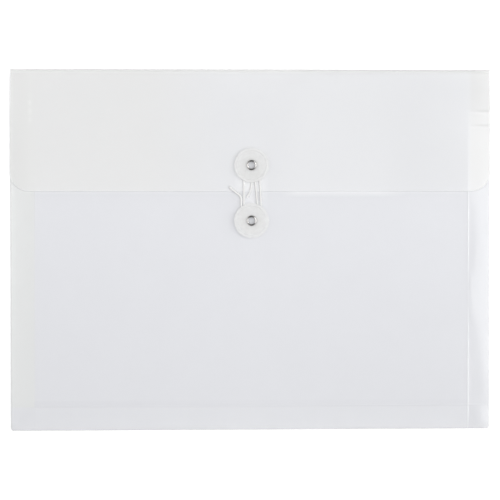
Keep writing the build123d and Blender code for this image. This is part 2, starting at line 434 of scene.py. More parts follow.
def front_tone(settings):
    """The front sheet's tone: painted shade that darkens it downwards and to the left as the light falls
    off, a painted shade strip above the bottom fold, other tones with painted shade gradients past the
    folds, and a lighter left weld.
    """
    base, side = settings.front_colour, settings.neutral_colour
    up_share, across_share, haze_share = 0.68, 0.24, 0.08
    shade_strip_width, weld_width, fold_run, crease_run = 0.0045, 0.004, 0.0012, 0.0008

    def tone_of(nodes, haze, x, y):
        upward = y.past(start=-0.115, run=0.15)
        across = x.past(start=-0.155, run=0.15)
        # Painted shade: darker downwards and to the left, with some haze
        painted_shade_and_texture = upward * up_share + across * across_share + haze * haze_share
        strip = y.before(BOTTOM_HIGH.y + shade_strip_width, fold_run)
        left = x.before(LEFT_HIGH.x, fold_run)
        low = y.before(BOTTOM_HIGH.y, fold_run)
        right = x.past(CREASE_X, crease_run)
        weld = x.before(FRONT_LOW.x + weld_width, run=0.003) * upward
        return nodes.layers(
            nodes.shades(painted_shade_and_texture, base, 0.91, 1.01),
            # Painted shade: a darker strip just above the bottom fold
            (strip, nodes.shades(across, base, 0.895, 0.93)),
            # Past the left fold: the neutral colour, with painted shade downwards
            (left, nodes.shades(upward, side, 0.94)),
            # Past the bottom fold: painted shade, darker to the left
            (low, nodes.shades(across, base, 0.93, 0.965)),
            # Past the right crease: painted shade that keeps the band dark round its glare, darker downwards
            (right, nodes.shades(upward, base, 0.935, 0.975)),
            (weld, shade(side, 1.08)),
        )

    return tone_of


def tie_painted_light(nodes, spot, x, y):
    """Painted light on the film under the string, between the two buttons, that lightens the string's
    shadows there.
    """
    middle = (BUTTONS["flap"].y + BUTTONS["front"].y) / 2
    patch = x.near(0.0, reach=0.008, crown=1.5) * y.near(middle, reach=0.012, crown=1.5)
    return patch * nodes.noise(spot, scale=400.0).between(0.2, 0.5)


def front_whitening_and_painted_light(settings):
    """Whitening along the right crease, partly the crease's own stress whitening and partly a painted
    highlight; painted light just below the flap's edge that lifts the shadow there; a painted sheen along
    the flap's free edge, right of the middle; and painted light under the string.
    """
    least, edge_light_white, sheen_white = 0.04, 0.08, 0.3
    edge_light_shift, sheen_width = 0.0006, 0.004

    def white_of(nodes, spot, x, y):
        swell = y.math("COSINE", (y - CREASE_PEAK) * (math.tau / CREASE_CYCLE)).between(0.5, 1.0)
        grain = nodes.noise(spot, scale=60.0).between(0.15, 0.55)
        # Partly stress whitening and partly a painted highlight along the right crease
        fold = x.near(CREASE_X, settings.crease_width) * (least + swell * grain)
        # Painted light just below the flap's edge, against the shadow line there
        painted_edge_light = y.near(FLAP_LOW.y - edge_light_shift, reach=0.0016) * abs(x).before(start=0.15, run=0.006)
        # A painted sheen along the flap's free edge, right of the middle
        painted_sheen = y.past(FLAP_LOW.y - sheen_width, sheen_width)
        painted_sheen = painted_sheen * x.past(start=0.02, run=0.012) * x.before(start=0.108, run=0.02)
        return fold + painted_edge_light * edge_light_white + painted_sheen * sheen_white + tie_painted_light(nodes, spot, x, y)

    return white_of


def flap_scuffs_and_painted_light(nodes, spot, x, y):
    """A short row of pale scuffs near the flap's left end, and painted light under the string that lightens
    its shadows.
    """
    scuff_x, scuff_y, scuff_cycle, scuff_white = -0.1514, 0.0963, 0.0062, 0.09
    scuffs = x.near(scuff_x, reach=0.002) * y.near(scuff_y, reach=0.008, crown=1.5)
    dots = y.math("SINE", y * (math.tau / scuff_cycle)).between(0.65, 1.0)
    return scuffs * dots * scuff_white + tie_painted_light(nodes, spot, x, y)


def edge_material(name, base, cover):
    """The cut edge of the film, which looks a little denser and greyer."""
    ragged_cover = 0.05

    def nodes_of(nodes):
        spot, _ = nodes.place()
        ragged = nodes.noise(spot, scale=140.0)
        return {
            "Base Color": nodes.shades(ragged, base, 0.96, 1.04),
            "Alpha": ragged.between(cover - ragged_cover, cover + ragged_cover),
            "Roughness": ragged.between(0.25, 0.35),
        }

    return close_material(name, nodes_of)


def disc_material(name, centre, settings):
    """Cloudy moulded plastic with faint turned rings."""
    ring_pace, ring_height, cloud_cover = 9000.0, 0.5, 0.08

    def nodes_of(nodes):
        spot, (x, y, _) = nodes.place()
        radius = ((x - centre.x) ** 2.0 + (y - centre.y) ** 2.0) ** 0.5
        rings = radius.math("SINE", radius * ring_pace)
        cloud = nodes.noise(spot, scale=320.0)
        grain = nodes.noise(spot, scale=5200.0)
        return {
            "Base Color": nodes.shades(cloud, settings.disc_colour, 0.975, 1.02),
            "Roughness": grain.between(0.3, 0.44),
            "Alpha": cloud.between(settings.disc_cover, settings.disc_cover + cloud_cover),
            "Normal": nodes.bump(rings * ring_height + grain, distance=0.000006),
        }

    return close_material(name, nodes_of)


def metal_material(settings):
    """Bright nickel plate with fine scratches and a duller patch here and there."""

    def nodes_of(nodes):
        spot, _ = nodes.place()
        dull = nodes.noise(spot, scale=900.0)
        scratches = nodes.noise(spot, scale=5200.0, stretch=(1.0, 0.12, 1.0), detail=4.0)
        return {
            "Base Color": nodes.shades(dull, settings.metal_colour, 0.92, 1.06),
            "Roughness": dull.between(0.08, 0.18),
            "Normal": nodes.bump(scratches, distance=0.000003),
        }

    return close_material("nickel_plate", nodes_of, metallic=1.0)


def string_material(settings):
    """White twisted string with fine fibres, and painted shade in the grooves between the strands."""
    crown_share, fibre_share = 0.8, 0.2

    def nodes_of(nodes):
        spot, _ = nodes.place()
        crown = nodes.add("ShaderNodeAttribute", {"attribute_name": "crown"}, None, "Fac")
        fibres = nodes.noise(spot, scale=6500.0, stretch=(1.0, 0.35, 1.0), detail=4.0)
        # Painted shade: darker where the surface sinks into the grooves between strands
        painted_shade_and_texture = crown * crown_share + fibres * fibre_share
        return {
            "Base Color": nodes.shades(painted_shade_and_texture, settings.string_colour, 0.95),
            "Roughness": fibres.between(0.75, 0.95),
            "Normal": nodes.bump(fibres, distance=0.00003),
        }

    return close_material("twisted_string", nodes_of)


def close_piece(bm, name, *materials):
    """Turn a finished bmesh into an object at the origin, with smooth faces and sharp corners kept."""
    sharp = math.radians(38.0)
    mesh = bpy.data.meshes.new(name)
    bm.to_mesh(mesh)
    bm.free()
    for material in materials:
        mesh.materials.append(material)
    mesh.shade_smooth()
    mesh.set_sharp_from_angle(angle=sharp)
    piece = bpy.data.objects.new(name, mesh)
    bpy.context.scene.collection.objects.link(piece)
    return piece


def thicken(piece):
    """Give a sheet the film's thickness, half to each side."""
    wall = piece.modifiers.new("film", "SOLIDIFY")
    wall.thickness = FILM
    wall.offset = 0.0
    wall.use_even_offset = True
    wall.material_offset_rim = 1
    return piece


def cut_lines(low, high, step, folds=(), fine=0.0, hole=None, cell=0.0):
    """Places of the cuts across a sheet: even ones, closer ones at the folds, and two beside a hole."""
    beside = 4
    count = math.ceil((high - low) / step)
    places = [low + (high - low) * k / count for k in range(1, count)]
    places += [fold + fine * k for fold in folds for k in range(-beside, beside + 1)]
    if hole is not None:
        places = [place for place in places if abs(place - hole) > cell]
        places += [hole - cell, hole + cell]
    return sorted(place for place in set(places) if low < place < high)


def cut(bm, place, direction, drop=False):
    """Cut a mesh at a plane, and drop what lies beyond the plane where that is asked."""
    whole = bm.verts[:] + bm.edges[:] + bm.faces[:]
    bmesh.ops.bisect_plane(bm, geom=whole, dist=TINY, plane_co=place, plane_no=direction, clear_outer=drop)


def cut_sheet(bm, across, along):
    """Cut a flat sheet along lines across X and along Y, so that it can bend there."""
    for direction, places in ((Vector((1, 0, 0)), across), (Vector((0, 1, 0)), along)):
        for place in places:
            cut(bm, direction * place, direction)


def punch_hole(bm, centre, radius, cell):
    """Open the square cell round a place and join its sides to a round hole."""
    segments = 32
    faces = [face for face in bm.faces if max(map(abs, (face.calc_center_median() - centre).xy)) < cell]
    sides = [edge for edge in {edge for face in faces for edge in face.edges}
             if sum(face in faces for face in edge.link_faces) == 1]
    bmesh.ops.delete(bm, geom=faces, context="FACES_ONLY")
    place = Matrix.Translation((centre.x, centre.y, 0.0))
    ring = bmesh.ops.create_circle(bm, segments=segments, radius=radius, matrix=place)["verts"]
    rim = list({edge for vert in ring for edge in vert.link_edges})
    bmesh.ops.bridge_loops(bm, edges=sides + rim)


def box_corners(low, high):
    """The four corners of a rectangle, anticlockwise from the lower left one."""
    return [(low.x, low.y), (high.x, low.y), (high.x, high.y), (low.x, high.y)]


def flat_face(bm, corners):
    """A flat face with these corners, facing up. Gives its points."""
    verts = [bm.verts.new((x, y, 0.0)) for x, y in corners]
    bm.faces.new(verts)
    return verts


def round_corners(bm, verts, radius, segments=10):
    """Round some corners of a flat face or of a line."""
    bmesh.ops.bevel(
        bm, geom=verts, offset=radius, offset_type="OFFSET", affect="VERTICES",
        segments=segments, profile=0.5, material=-1,
    )


def line_edges(bm, width):
    """Set a narrow strip along the outline apart, for the cut edge."""
    inset = bmesh.ops.inset_region(
        bm, faces=bm.faces[:], thickness=width, use_boundary=True, use_even_offset=True
    )
    for face in inset["faces"]:
        face.material_index = 1


def grow(bm, edges):
    """Extrude a line in place. Gives its new points and edges."""
    grown = bmesh.ops.extrude_edge_only(bm, edges=edges)["geom"]
    verts = [item for item in grown if isinstance(item, bmesh.types.BMVert)]
    fresh = set(verts)
    edges = [item for item in grown if isinstance(item, bmesh.types.BMEdge) and fresh.issuperset(item.verts)]
    return verts, edges


def ridge(distance, width):
    """A smooth bump of height 1 that is gone a little way from its middle."""
    return math.exp(-((distance / width) ** 2))


def ease(share):
    """A smooth step from 0 to 1."""
    share = min(1.0, max(0.0, share))
    return share * share * (3.0 - 2.0 * share)


def fall_start(y):
    """The share of the right band's width at which it starts to fall, at a place along it."""
    for (low, first), (high, second) in zip(FALL_STARTS, FALL_STARTS[1:]):
        if y <= high:
            return first + (second - first) * ease((y - low) / (high - low))
    return FALL_STARTS[-1][1]


def fold_calm(film, y):
    """How far the falls have built up at a distance from the top fold, from 0 to 1."""
    return ease((FOLD_Y - film.fold_flat - y) / film.fold_fade)


def gone(value, start, end):
    """The share of the way from a start to an end that a value has gone, and 0 before the start."""
    return max(0.0, (value - start) / (end - start))


def band_fall(film, x, y):
    """How far the front's side and bottom bands have fallen at a place."""
    right = gone(x, RIGHT_LOW.x, FRONT_HIGH.x)
    left = gone(x, LEFT_HIGH.x, FRONT_LOW.x)
    low = gone(y, BOTTOM_HIGH.y, FRONT_LOW.y)
    past = max(0.0, right - fall_start(y))
    run = past - film.right_ease / 2 if past > film.right_ease else past**2 / (2 * film.right_ease)
    fall = film.right_slope * run * (FRONT_HIGH.x - RIGHT_LOW.x)
    fall += film.left_drop * left**2 + film.bottom_drop * low**2 * (1.0 - right)
    return fall * fold_calm(film, y)


def waves(film, x, y, phase):
    """Gentle waves in a sheet, which die out at the buttons and at the top fold."""
    pace = math.tau / film.wave_length
    sway = 0.0
    for across, along, share, height in WAVES:
        sway += height * math.sin(pace * (across * x + along * y) + share * phase)
    calm = ease((FOLD_Y - y) / film.fold_fade / 2)
    for centre in BUTTONS.values():
        calm *= ease((math.hypot(x - centre.x, y - centre.y) - film.calm_radius) / film.calm_fade)
    return film.wave_height * sway * calm


def creases(film, x, y):
    """Ridges over the inner folds of the gussets. The right one comes and goes along its seam."""
    mean, swing, left_share, bottom_share = 0.52, 0.48, 0.4, 0.5
    swell = mean + swing * math.cos((y - CREASE_PEAK) * math.tau / CREASE_CYCLE)
    rise = swell * ridge(x - CREASE_X, film.crease_width)
    rise += left_share * ridge(x - LEFT_HIGH.x, film.crease_width)
    rise += bottom_share * ridge(y - BOTTOM_HIGH.y, film.crease_width)
    return film.crease_height * rise


def welds(film, x, y):
    """The welded strips along the seams, pressed in a little."""
    inset = min(FRONT_HIGH.x - abs(x), y - FRONT_LOW.y)
    return film.weld_depth * ease((film.weld_width - inset) / film.edge_width + 0.5)


def front_height(film, x, y):
    """Height of the middle of the front sheet."""
    rest = (FRONT_LOW.z + FRONT_HIGH.z) / 2
    rise = waves(film, x, y, FRONT_PHASE) + creases(film, x, y)
    return rest + rise - welds(film, x, y) - band_fall(film, x, y)


def flap_height(film, x, y):
    """Height of the middle of the flap, over its flat stretch."""
    left_share, dent_pace = 0.5, 2.0
    rest = (FLAP_LOW.z + FLAP_HIGH.z) / 2
    right = gone(x, RIGHT_LOW.x, FLAP_HIGH.x)
    left = gone(x, LEFT_HIGH.x, FLAP_LOW.x)
    fall = film.flap_drop * (right + left_share * left) * fold_calm(film, y)
    rows = sum(ridge(y - row, film.dent_width) for row in DENT_ROWS)
    dents = film.dent_depth * ease(dent_pace * right) * rows
    return rest + waves(film, x, y, FLAP_PHASE) - band_fall(film, x, y) - fall - dents


def side_lines(film, hole, cell):
    """The cuts across X that the front sheet and the flap share."""
    return cut_lines(
        FLAP_LOW.x, FLAP_HIGH.x, film.grid_step, (LEFT_HIGH.x, CREASE_X), film.crease_width / 2, hole, cell
    )


class ENVELOPE_OT_stage(bpy.types.Operator):
    """Make the floor, the light and the camera"""

    bl_idname = "envelope.stage"
    bl_label = "Stage"

    def execute(self, context):
        stage = context.scene.envelope_stage
        self.make_floor(stage)
        self.make_light(context, stage)
        self.make_camera(context, stage)
        return {"FINISHED"}

    def make_floor(self, stage):
        """A plain pale floor just under the envelope."""

        def nodes_of(nodes):
            spot, _ = nodes.place()
            return {"Base Color": nodes.shades(nodes.noise(spot, scale=0.6), stage.floor_colour, 0.99)}

        bm = bmesh.new()
        below = Matrix.Translation((0.0, 0.0, -stage.floor_gap))
        bmesh.ops.create_grid(bm, x_segments=1, y_segments=1, size=stage.floor_size, matrix=below)
        glow = {"emission_color": WHITE, "emission_strength": stage.floor_glow}
        floor = close_piece(bm, "floor", close_material("floor_paint", nodes_of, roughness=0.9, **glow))

    def make_light(self, context, stage):
        """A sky that is bright on both sides, a soft light on the right and one overhead."""
        world = bpy.data.worlds.new("studio")
        world.use_nodes = True
        context.scene.world = world
        nodes = Nodes(world.node_tree)
        spot = nodes.add("ShaderNodeTexCoord", output="Generated")
        x, y = (nodes.add("ShaderNodeSeparateXYZ", None, {0: spot}, axis) for axis in range(2))
        sides = abs(x).past(start=0.2, run=0.4) * (1.0 - y * y) ** 2.0
        strength = sides.between(stage.sky_dark, stage.sky_bright)
        sky = nodes.add("ShaderNodeBackground", None, {"Strength": strength})
        nodes.add("ShaderNodeOutputWorld", None, {"Surface": sky})

        key = self.make_lamp(context, "key", KEY_PLACE, stage.key_power)
        key.data.size, key.data.size_y = stage.key_width, stage.key_length
        top = self.make_lamp(context, "top", TOP_PLACE, stage.top_power)
        top.data.size = top.data.size_y = stage.top_width
        top.visible_glossy = False

    def make_lamp(self, context, name, place, power):
        """A soft rectangular light that faces the envelope."""
        light = bpy.data.lights.new(name, "AREA")
        light.shape = "RECTANGLE"
        light.energy = power
        lamp = bpy.data.objects.new(name, light)
        lamp.location = place
        lamp.rotation_euler = (-place).to_track_quat("-Z", "Y").to_euler()
        context.scene.collection.objects.link(lamp)
        return lamp

    def make_camera(self, context, stage):
        """A long lens that looks down on the envelope."""
        target = Vector((stage.target_x, stage.target_y, FRONT_HIGH.z))
        camera = bpy.data.cameras.new("camera")
        viewer = bpy.data.objects.new("camera", camera)
        viewer.location = (stage.camera_x, stage.camera_y, stage.camera_height)
        sight = target - viewer.location
        viewer.rotation_euler = (math.asin(sight.y / sight.length), -math.atan2(sight.x, -sight.z), 0.0)
        camera.lens = camera.sensor_width * sight.length / stage.view_width
        context.scene.collection.objects.link(viewer)
        context.scene.camera = viewer
        context.scene.view_settings.view_transform = "Standard"
        context.scene.cycles.transparent_max_bounces = 32


class StringPath:
    """A line of points along the string, and the upright frames that its rings stand in."""

    def __init__(self, corners, step):
        self.points = self.even(self.spline_points(corners), step)

    @staticmethod
    def spline_points(corners):
        """Points along the smooth spline that these corners pull."""
        curve = bpy.data.curves.new("route", "CURVE")
        curve.dimensions = "3D"
        curve.resolution_u = 128
        spline = curve.splines.new("NURBS")
        spline.points.add(len(corners) - 1)
        for point, corner in zip(spline.points, corners):
            point.co = (*corner, 1.0)
        spline.order_u = 3
        spline.use_endpoint_u = True
        carrier = bpy.data.objects.new("route", curve)
        mesh = bpy.data.meshes.new_from_object(carrier)
        points = [vert.co.copy() for vert in mesh.vertices]
        bpy.data.meshes.remove(mesh)
        bpy.data.curves.remove(curve)
        return points

    @staticmethod
    def even(points, step):
        """The same line with its points about a step apart."""
        even = [points[0]]
        for point in points[1:]:
            if (point - even[-1]).length >= step:
                even.append(point)
        if even[-1] != points[-1]:
            even[-1] = points[-1]
        return even

    def length(self):
        """Length of the line."""
        return sum((b - a).length for a, b in zip(self.points, self.points[1:]))

    def stations(self, lay):
        """A matrix for each point, which stands across the line and turns with the string's twist."""
        placed = []
        travelled = 0.0
        for index, point in enumerate(self.points):
            before = self.points[max(0, index - 1)]
            after = self.points[min(len(self.points) - 1, index + 1)]
            travelled += (point - before).length
            stand = (after - before).to_track_quat("Z", "Y").to_matrix().to_4x4()
            spin = Matrix.Rotation(math.tau * travelled / lay, 4, "Z")
            placed.append(Matrix.Translation(point) @ stand @ spin)
        return placed


def twist_string(bm, path, radius, tie):
    """Grow a twisted string of several strands along a path, ring by ring, with closed ends."""
    stations = path.stations(tie.lay)
    # The crown layer, high on a strand and low in a groove, sets the painted shade of the grooves
    crown = bm.verts.layers.float.get("crown") or bm.verts.layers.float.new("crown")
    sides = tie.strands * tie.strand_sides
    ring = bmesh.ops.create_circle(bm, cap_ends=True, segments=sides, radius=radius)["verts"]
    for vert in ring:
        high = abs(math.cos(math.atan2(vert.co.y, vert.co.x) * tie.strands / 2))
        vert[crown] = high
        vert.co *= 1.0 - tie.groove * (1.0 - high)
    bmesh.ops.transform(bm, matrix=stations[0], verts=ring)
    edges = list({edge for vert in ring for edge in vert.link_edges})
    for before, after in zip(stations, stations[1:]):
        ring, edges = grow(bm, edges)
        bmesh.ops.transform(bm, matrix=after @ before.inverted(), verts=ring)
    bmesh.ops.contextual_create(bm, geom=edges)
    bmesh.ops.recalc_face_normals(bm, faces=bm.faces[:])


def wrap_knot(bm, centre, direction, half, radius, tie):
    """A knot seen from outside: a few close turns of string round a short stretch of it."""
    turns, steps = 2.75, 44
    strand_share, end_share = 0.52, 0.55
    strand = radius * strand_share
    stand = Matrix.Translation(centre) @ direction.to_track_quat("Z", "Y").to_matrix().to_4x4()
    corners = []
    for step in range(steps + 1):
        share = step / steps
        angle = math.tau * turns * share
        swell = (radius - strand) * (end_share + (1.0 - end_share) * math.sin(math.pi * share))
        along = (half - strand) * (2.0 * share - 1.0)
        corners.append(stand @ Vector((swell * math.cos(angle), swell * math.sin(angle), along)))
    twist_string(bm, StringPath(corners, strand / 3), strand, tie)


class ENVELOPE_OT_string(bpy.types.Operator):
    """Wind the string round both buttons, with its knots"""

    bl_idname = "envelope.string"
    bl_label = "String"

    def execute(self, context):
        tie = context.scene.envelope_tie
        finish = string_material(tie)
        flap = Vector((BUTTONS["flap"].x, BUTTONS["flap"].y, STRING_Z))
        front = Vector((BUTTONS["front"].x, BUTTONS["front"].y, STRING_Z))
        drop = SPACER_RADIUS + tie.string_clearance + tie.knot_radius
        knot_centre = flap + Vector((tie.knot_offset, -drop, 0.0))
        start = knot_centre + Vector((tie.knot_half / 2, 0.0, 0.0))
        corners = self.route(tie, flap, front, start)

        path = StringPath(corners, tie.ring_step)
        bm = bmesh.new()
        twist_string(bm, path, STRING_SIZE / 2, tie)
        string = close_piece(bm, "string", finish)

        bm = bmesh.new()
        wrap_knot(bm, knot_centre, Vector((1, 0, 0)), tie.knot_half, tie.knot_radius, tie)
        stub = [flap + Vector((across, along, 0.0)) for across, along in STUB_ROUTE]
        twist_string(bm, StringPath(stub, tie.ring_step), STRING_SIZE / 2, tie)
        knot = close_piece(bm, "knot_and_stub", finish)

        bm = bmesh.new()
        tail = (corners[-1] - corners[-2]).normalized()
        wrap_knot(bm, corners[-1], tail, tie.end_half, tie.end_radius, tie)
        end = close_piece(bm, "tail_knot", finish)

        for piece, node in ((string, "tie_string"), (knot, "string_knot"), (end, "string_end")):
            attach(piece, "flap")
            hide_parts(node)
        return {"FINISHED"}

    def route(self, tie, flap, front, start):
        """Corners that pull the string: from the knot, round both buttons, and out as the tail."""
        inner = SPACER_RADIUS + tie.string_clearance + STRING_SIZE / 2
        outer = inner + STRING_SIZE + tie.turn_gap
        reach = start - front
        touch = math.atan2(reach.y, reach.x) - math.acos(inner / reach.length)
        lean = math.asin((outer - inner) / (flap - front).length)
        corner = front + Vector((-outer, tie.tail_rise, 0.0))
        away = Vector((-math.sin(tie.tail_turn), math.cos(tie.tail_turn), 0.0))
        return [
            start,
            *self.wind(front, inner, touch, math.pi + touch, tie),
            *self.wind(flap, inner, math.pi, math.pi - lean, tie),
            *self.wind(front, outer, lean, math.pi + lean, tie),
            corner - Vector((0.0, tie.tail_ease, 0.0)),
            corner,
            corner + away * tie.tail_ease,
            corner + away * tie.tail_reach,
        ]

    def wind(self, centre, radius, start, sweep, tie):
        """Corners of the sides that touch a clockwise turn, with one more on each straight run beside it."""
        count = max(2, round(sweep / tie.wind_step))
        half = sweep / count / 2
        side = radius * math.tan(half)
        finish = start - sweep
        spots = [start - half * (2 * k + 1) for k in range(count)]
        corners = [Vector((math.cos(a), math.sin(a), 0.0)) * radius / math.cos(half) for a in spots]
        touch_in = Vector((math.cos(start), math.sin(start), 0.0)) * radius
        touch_out = Vector((math.cos(finish), math.sin(finish), 0.0)) * radius
        entry = touch_in - Vector((math.sin(start), -math.cos(start), 0.0)) * side
        leave = touch_out + Vector((math.sin(finish), -math.cos(finish), 0.0)) * side
        return [centre + corner for corner in (entry, *corners, leave)]


class ENVELOPE_OT_back_sheet(bpy.types.Operator):
    """Make the back sheet, which lies on the table"""

    bl_idname = "envelope.back_sheet"
    bl_label = "Back Sheet"

    def execute(self, context):
        film = context.scene.envelope_film
        bm = bmesh.new()
        flat_face(bm, box_corners(BACK_LOW, BACK_HIGH))
        round_corners(bm, [vert for vert in bm.verts if vert.co.y < 0.0], film.panel_corner)
        line_edges(bm, film.edge_width)
        across = cut_lines(BACK_LOW.x, BACK_HIGH.x, film.grid_step * 2)
        along = cut_lines(BACK_LOW.y, BACK_HIGH.y, film.grid_step * 2)
        cut_sheet(bm, across, along)
        bmesh.ops.translate(bm, vec=(0.0, 0.0, (BACK_LOW.z + BACK_HIGH.z) / 2), verts=bm.verts[:])
        finish = film_material("back_film", film.cover, film, back_tone(film.back_colour))
        edge = edge_material("back_edge", film.edge_colour, film.edge_cover)
        sheet = thicken(close_piece(bm, "back_sheet", finish, edge))
        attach(sheet, "back")
        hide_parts("back_panel")
        return {"FINISHED"}


class ENVELOPE_OT_front_sheet(bpy.types.Operator):
    """Make the front sheet, with its thumb notch, creases and welded seams"""

    bl_idname = "envelope.front_sheet"
    bl_label = "Front Sheet"

    def execute(self, context):
        film = context.scene.envelope_film
        button = BUTTONS["front"]
        cell = film.hole_radius * 2
        bm = bmesh.new()
        self.outline(bm, film)
        line_edges(bm, film.edge_width)
        across = side_lines(film, button.x, cell)
        fine = film.crease_width / 2
        along = cut_lines(FRONT_LOW.y, FRONT_HIGH.y, film.grid_step, (BOTTOM_HIGH.y,), fine, button.y, cell)
        cut_sheet(bm, across, along)
        punch_hole(bm, button, film.hole_radius, cell)
        for vert in bm.verts:
            vert.co.z = front_height(film, vert.co.x, vert.co.y)
        finish = film_material("front_film", film.cover, film, front_tone(film), front_whitening_and_painted_light(film))
        edge = edge_material("front_edge", film.edge_colour, film.edge_cover)
        sheet = thicken(close_piece(bm, "front_sheet", finish, edge))
        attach(sheet, "front")
        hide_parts("front_panel")
        return {"FINISHED"}

    def outline(self, bm, film):
        """A rectangle with rounded corners and a round notch in its upper side."""
        steps = 24
        chord = math.sqrt(film.notch_radius**2 - (film.notch_radius - film.notch_depth) ** 2)
        half = math.asin(chord / film.notch_radius)
        middle = FRONT_HIGH.y - film.notch_depth + film.notch_radius
        corners = box_corners(FRONT_LOW, FRONT_HIGH)
        notch = []
        for step in range(steps + 1):
            angle = half * (1.0 - 2.0 * step / steps)
            notch.append((film.notch_radius * math.sin(angle), middle - film.notch_radius * math.cos(angle)))
        verts = flat_face(bm, corners[:3] + notch + corners[3:])
        round_corners(bm, [verts[0], verts[1], verts[2], verts[-1]], film.panel_corner)
        round_corners(bm, [verts[3], verts[3 + steps]], film.notch_corner)


class ENVELOPE_OT_flap(bpy.types.Operator):
    """Make the flap, with the fold that joins it to the back sheet"""

    bl_idname = "envelope.flap"
    bl_label = "Flap"

    def execute(self, context):
        film = context.scene.envelope_film
        button = BUTTONS["flap"]
        cell = film.hole_radius * 2
        fold_steps = 24
        wrap = math.pi * FOLD_RADIUS
        bm = bmesh.new()
        flat_face(bm, box_corners(FLAP_LOW, Vector((FLAP_HIGH.x, FOLD_Y + wrap))))
        round_corners(bm, [vert for vert in bm.verts if vert.co.y < FOLD_Y], film.flap_corner)
        line_edges(bm, film.edge_width)
        across = side_lines(film, button.x, cell)
        along = cut_lines(
            FLAP_LOW.y, FOLD_Y, film.grid_step, DENT_ROWS, film.dent_width / 2, button.y, cell
        )
        along += [FOLD_Y] + cut_lines(FOLD_Y, FOLD_Y + wrap, wrap / fold_steps)
        cut_sheet(bm, across, along)
        punch_hole(bm, button, film.hole_radius, cell)
        for vert in bm.verts:
            self.bend(vert, film)
        finish = film_material("flap_film", film.flap_cover, film, flap_tone(film), flap_scuffs_and_painted_light)
        edge = edge_material("flap_edge", film.flap_colour, film.flap_edge_cover)
        sheet = thicken(close_piece(bm, "flap_and_fold", finish, edge))
        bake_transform(sheet)
        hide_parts("flap_panel", "top_fold")
        return {"FINISHED"}

    def bend(self, vert, film):
        """Lay a point of the flat sheet on the flap, or round the fold."""
        past = vert.co.y - FOLD_Y
        if past <= 0.0:
            narrow = ease(1.0 + past / film.fold_fade / 2)
            vert.co.z = flap_height(film, vert.co.x, vert.co.y)
        else:
            narrow = 1.0
            angle = past / FOLD_RADIUS
            vert.co.y = FOLD_Y + FOLD_RADIUS * math.sin(angle)
            vert.co.z = FOLD_AXIS_Z + FOLD_RADIUS * math.cos(angle)
        vert.co.x *= 1.0 - narrow * (1.0 - FOLD_HIGH.x / FLAP_HIGH.x)


class ENVELOPE_OT_gussets(bpy.types.Operator):
    """Make the folded strips along both sides and the bottom"""

    bl_idname = "envelope.gussets"
    bl_label = "Gussets"

    def execute(self, context):
        film = context.scene.envelope_film
        finish = film_material("gusset_film", film.gusset_cover, film, plain_tone(film.gusset_colour))
        edge = edge_material("gusset_edge", film.edge_colour, film.edge_cover)
        for name, outer, inner in (
            ("left_gusset", LEFT_LOW.x, LEFT_HIGH.x),
            ("right_gusset", RIGHT_HIGH.x, RIGHT_LOW.x),
        ):
            bm = bmesh.new()
            section = self.section(film, outer, inner)
            verts = [bm.verts.new((across, RIGHT_HIGH.y, height)) for across, height in section]
            self.run_out(bm, verts, Vector((0.0, BOTTOM_LOW.y - RIGHT_HIGH.y, 0.0)), film)
            side = math.copysign(1.0, outer)
            mitre = Vector((outer, BOTTOM_LOW.y + film.mitre_gap / 2, 0.0))
            cut(bm, mitre, Vector((-side, -1.0, 0.0)), drop=True)
            self.close(bm, name, film, finish, edge)

        bm = bmesh.new()
        section = self.section(film, BOTTOM_LOW.y, BOTTOM_HIGH.y)
        verts = [bm.verts.new((LEFT_LOW.x, along, height)) for along, height in section]
        self.run_out(bm, verts, Vector((RIGHT_HIGH.x - LEFT_LOW.x, 0.0, 0.0)), film)
        for outer in (LEFT_LOW.x, RIGHT_HIGH.x):
            side = math.copysign(1.0, outer)
            mitre = Vector((outer, BOTTOM_LOW.y - film.mitre_gap / 2, 0.0))
            cut(bm, mitre, Vector((side, 1.0, 0.0)), drop=True)
        self.close(bm, "bottom_gusset", film, finish, edge)
        return {"FINISHED"}

    def section(self, film, outer, inner):
        """Places and heights of the folded strip, from its lower to its upper flange."""
        low = BACK_HIGH.z + FILM / 2 + film.contact
        high = FRONT_LOW.z - FILM / 2 - film.contact
        inward = math.copysign(1.0, inner - outer)
        flange = outer + inward * film.weld_width
        tip = inner - inward * FILM / 2
        return [(outer, low), (flange, low), (tip, film.gusset_fold), (flange, high), (outer, high)]

    def run_out(self, bm, verts, way, film):
        """Draw the section out along the seam, with rounded folds and enough cuts to bend."""
        for pair in zip(verts, verts[1:]):
            bm.edges.new(pair)
        round_corners(bm, verts[1:-1], film.fold_round, segments=4)
        edges = bm.edges[:]
        steps = math.ceil(way.length / film.grid_step)
        for _ in range(steps):
            fresh, edges = grow(bm, edges)
            bmesh.ops.translate(bm, vec=way / steps, verts=fresh)

    def close(self, bm, name, film, finish, edge):
        """Fit a strip under the front sheet and let it open between the two panels."""
        low = BACK_HIGH.z
        high = FRONT_LOW.z
        for vert in bm.verts:
            room = front_height(film, vert.co.x, vert.co.y) - FILM / 2 - low
            vert.co.z = low + (vert.co.z - low) * room / (high - low)
        bmesh.ops.recalc_face_normals(bm, faces=bm.faces[:])
        strip = thicken(close_piece(bm, f"{name}_strip", finish, edge))
        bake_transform(strip)
        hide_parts(name)


def turned_ring(name, centre, profile, steps, *materials):
    """A ring turned from corners of radius and height, each with its own rounding."""
    bm = bmesh.new()
    verts = [bm.verts.new((centre.x + radius, centre.y, height)) for radius, height, _ in profile]
    bm.faces.new(verts)
    for vert, (_, _, rounding) in zip(verts, profile):
        if rounding:
            round_corners(bm, [vert], rounding, segments=6)
    outline = bm.faces[:][0].edges[:]
    corners = bm.verts[:]
    bmesh.ops.delete(bm, geom=bm.faces[:], context="FACES_ONLY")
    bmesh.ops.spin(
        bm, geom=corners + outline, cent=centre, axis=(0.0, 0.0, 1.0), angle=math.tau,
        steps=steps, use_merge=True, use_duplicate=False,
    )
    bmesh.ops.remove_doubles(bm, verts=bm.verts[:], dist=TINY)
    bmesh.ops.recalc_face_normals(bm, faces=bm.faces[:])
    return close_piece(bm, name, *materials)


